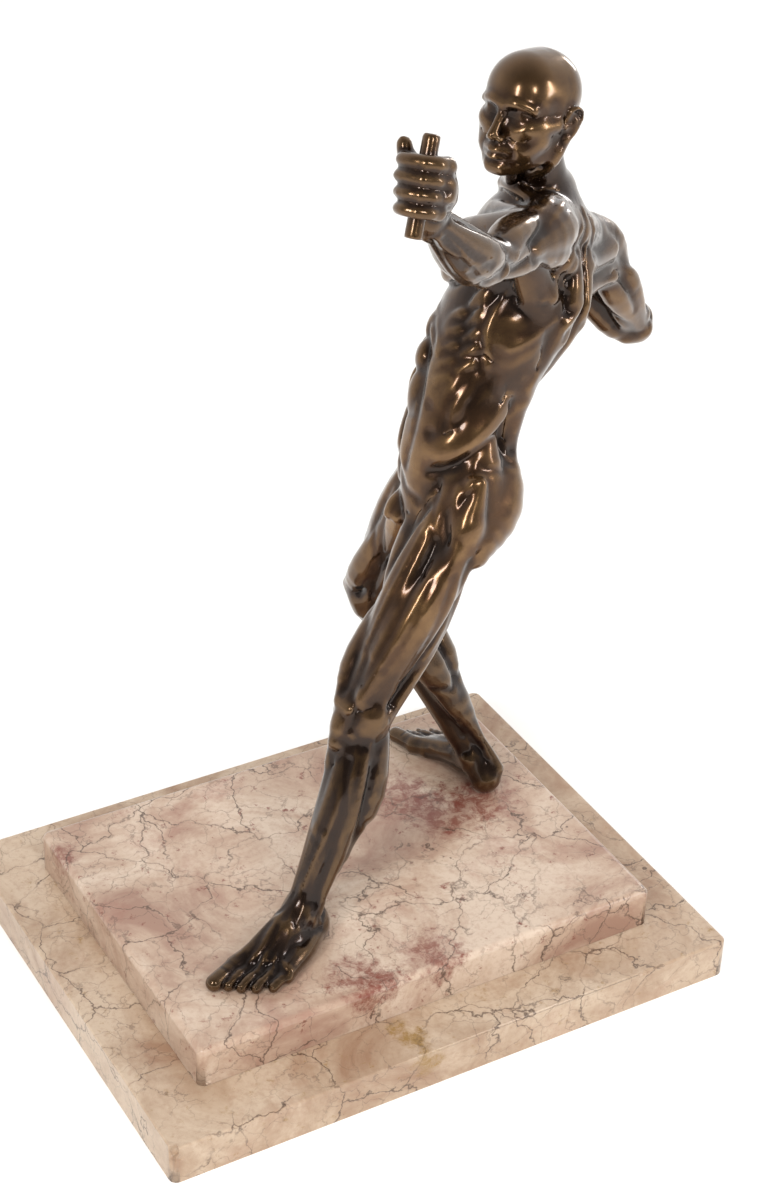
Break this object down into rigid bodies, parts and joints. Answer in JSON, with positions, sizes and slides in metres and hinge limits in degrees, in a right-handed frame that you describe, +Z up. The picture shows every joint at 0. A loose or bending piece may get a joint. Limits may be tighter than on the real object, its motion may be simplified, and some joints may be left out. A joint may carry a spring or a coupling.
{
  "type": "bronze archer statuette on a marble base",
  "caption": "Bronze statuette of a nude male archer in a wide stance, drawing a bow of which only the grip is there, on a stepped marble base.",
  "frame": {"origin": "centre of the lower slab's underside", "axes": "+Z up, X along the long side of the slabs, Y along the short side; the figure aims towards -X and -Y"},
  "size_m": [0.4863, 0.335, 0.659],
  "materials": {
    "bronze": "glossy dark brown patina, rubbed golden on the high places",
    "cream_marble": "polished cream marble with rose patches and thin brown veins",
    "tan_marble": "polished tan marble with thin brown veins"
  },
  "bodies": {
    "root": {"archer_figure": "bronze", "upper_slab": "cream_marble", "lower_slab": "tan_marble"}
  },
  "joints": []
}
